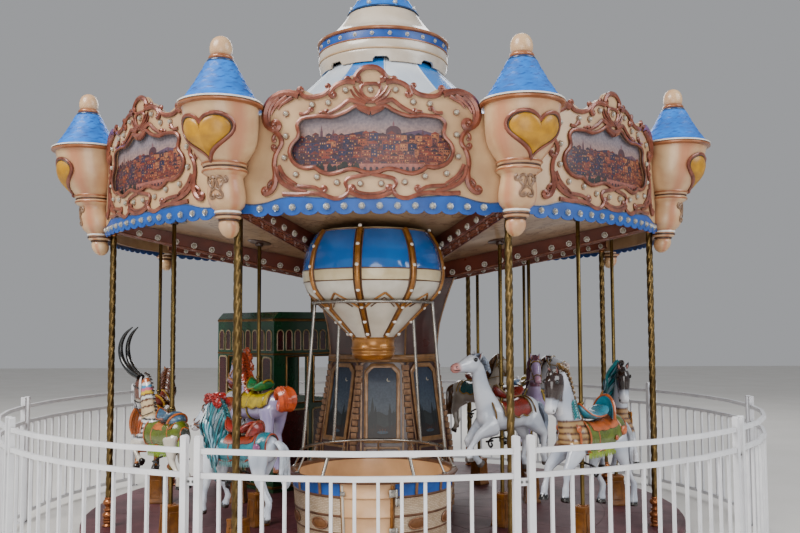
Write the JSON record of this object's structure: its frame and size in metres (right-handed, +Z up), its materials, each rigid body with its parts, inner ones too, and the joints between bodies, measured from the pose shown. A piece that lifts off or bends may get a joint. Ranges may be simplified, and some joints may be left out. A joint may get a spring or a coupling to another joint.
{
  "type": "fairground carousel",
  "caption": "Children's carousel with a domed crown, scalloped cornice, corner turrets, pole-mounted animals, a balloon car, a coach and a white ring fence.",
  "frame": {"origin": "on the ground at the turning axis", "axes": "+Z up along the turning axis, -Y towards the front bay with the balloon car"},
  "size_m": [6.4938, 6.4913, 5.322],
  "materials": {
    "frame_paint": "satin paint",
    "deck_plate": "satin anti-slip paint",
    "maroon_cladding": "gloss gelcoat with framed panels",
    "beam_paint": "gloss paint over carved relief",
    "ceiling_panel": "satin, painted branches",
    "roof_gores": "gloss gelcoat, blue and white gores",
    "crown_cream": "gloss gelcoat",
    "crown_blue": "gloss gelcoat",
    "cornice_cream": "gloss gelcoat with copper scrollwork",
    "turret_gelcoat": "gloss gelcoat, blue cone and yellow heart",
    "twisted_brass": "polished, weathered in the grooves",
    "car_gelcoat": "gloss gelcoat with painted bands",
    "stainless_tube": "polished",
    "envelope_gelcoat": "gloss gelcoat with gold ribs",
    "coach_gelcoat": "gloss gelcoat",
    "horse_gelcoat": "gloss gelcoat, painted tack",
    "antelope_gelcoat": "gloss gelcoat, painted tack",
    "white_powder_coat": "powder coat"
  },
  "bodies": {
    "base": {"ground_frame": "frame_paint", "fence_panel_1": "white_powder_coat", "fence_panel_2": "white_powder_coat", "fence_panel_3": "white_powder_coat", "fence_panel_4": "white_powder_coat", "fence_panel_5": "white_powder_coat", "fence_panel_6": "white_powder_coat", "fence_panel_7": "white_powder_coat", "fence_panel_8": "white_powder_coat", "fence_panel_9": "white_powder_coat", "fence_panel_10": "white_powder_coat"},
    "turntable": {"deck": "deck_plate", "centre_cladding": "maroon_cladding", "canopy_frame": "beam_paint", "ceiling": "ceiling_panel", "roof_canopy": "roof_gores", "crown_drum": "crown_cream", "crown_spire": "crown_blue", "rounding_board_1": "cornice_cream", "rounding_board_2": "cornice_cream", "rounding_board_3": "cornice_cream", "rounding_board_4": "cornice_cream", "rounding_board_5": "cornice_cream", "rounding_board_6": "cornice_cream", "rounding_board_7": "cornice_cream", "rounding_board_8": "cornice_cream", "turret_1": "turret_gelcoat", "turret_2": "turret_gelcoat", "turret_3": "turret_gelcoat", "turret_4": "turret_gelcoat", "turret_5": "turret_gelcoat", "turret_6": "turret_gelcoat", "turret_7": "turret_gelcoat", "turret_8": "turret_gelcoat", "support_column_1": "twisted_brass", "support_column_2": "twisted_brass", "support_column_3": "twisted_brass", "support_column_4": "twisted_brass", "support_column_5": "twisted_brass", "support_column_6": "twisted_brass", "support_column_7": "twisted_brass", "support_column_8": "twisted_brass", "balloon_basket": "car_gelcoat", "balloon_frame": "stainless_tube", "balloon_envelope": "envelope_gelcoat", "coach": "coach_gelcoat"},
    "basket_door": {"basket_door": "car_gelcoat"},
    "inner_horse_1": {"inner_horse_1": "horse_gelcoat"},
    "inner_horse_2": {"inner_horse_2": "horse_gelcoat"},
    "inner_horse_3": {"inner_horse_3": "horse_gelcoat"},
    "inner_horse_4": {"inner_horse_4": "horse_gelcoat"},
    "inner_horse_5": {"inner_horse_5": "horse_gelcoat"},
    "inner_horse_6": {"inner_horse_6": "horse_gelcoat"},
    "outer_horse_1": {"outer_horse_1": "horse_gelcoat"},
    "outer_horse_2": {"outer_horse_2": "horse_gelcoat"},
    "outer_horse_3": {"outer_horse_3": "horse_gelcoat"},
    "outer_horse_4": {"outer_horse_4": "horse_gelcoat"},
    "outer_horse_5": {"outer_horse_5": "horse_gelcoat"},
    "outer_horse_6": {"outer_horse_6": "horse_gelcoat"},
    "antelope": {"antelope": "antelope_gelcoat"}
  },
  "joints": [
    {"name": "turntable_spin", "type": "hinge", "parent": "base", "child": "turntable", "pos_m": [0, 0, 0.08], "axis": [0, 0, 1], "continuous": true},
    {"name": "door_hinge", "type": "hinge", "parent": "turntable", "child": "basket_door", "pos_m": [0.1505, -2.0115, 0.4], "axis": [0, 0, 1], "range_deg": [0, 95]},
    {"name": "inner_horse_1_lift", "type": "slide", "parent": "turntable", "child": "inner_horse_1", "axis": [0, 0, 1], "range_m": [-0.1, 0.1]},
    {"name": "inner_horse_2_lift", "type": "slide", "parent": "turntable", "child": "inner_horse_2", "axis": [0, 0, 1], "range_m": [-0.1, 0.1]},
    {"name": "inner_horse_3_lift", "type": "slide", "parent": "turntable", "child": "inner_horse_3", "axis": [0, 0, 1], "range_m": [-0.1, 0.1]},
    {"name": "inner_horse_4_lift", "type": "slide", "parent": "turntable", "child": "inner_horse_4", "axis": [0, 0, 1], "range_m": [-0.1, 0.1]},
    {"name": "inner_horse_5_lift", "type": "slide", "parent": "turntable", "child": "inner_horse_5", "axis": [0, 0, 1], "range_m": [-0.1, 0.1]},
    {"name": "inner_horse_6_lift", "type": "slide", "parent": "turntable", "child": "inner_horse_6", "axis": [0, 0, 1], "range_m": [-0.1, 0.1]},
    {"name": "outer_horse_1_lift", "type": "slide", "parent": "turntable", "child": "outer_horse_1", "axis": [0, 0, 1], "range_m": [-0.1, 0.1]},
    {"name": "outer_horse_2_lift", "type": "slide", "parent": "turntable", "child": "outer_horse_2", "axis": [0, 0, 1], "range_m": [-0.1, 0.1]},
    {"name": "outer_horse_3_lift", "type": "slide", "parent": "turntable", "child": "outer_horse_3", "axis": [0, 0, 1], "range_m": [-0.1, 0.1]},
    {"name": "outer_horse_4_lift", "type": "slide", "parent": "turntable", "child": "outer_horse_4", "axis": [0, 0, 1], "range_m": [-0.1, 0.1]},
    {"name": "outer_horse_5_lift", "type": "slide", "parent": "turntable", "child": "outer_horse_5", "axis": [0, 0, 1], "range_m": [-0.1, 0.1]},
    {"name": "outer_horse_6_lift", "type": "slide", "parent": "turntable", "child": "outer_horse_6", "axis": [0, 0, 1], "range_m": [-0.1, 0.1]},
    {"name": "antelope_lift", "type": "slide", "parent": "turntable", "child": "antelope", "axis": [0, 0, 1], "range_m": [-0.1, 0.1]}
  ]
}
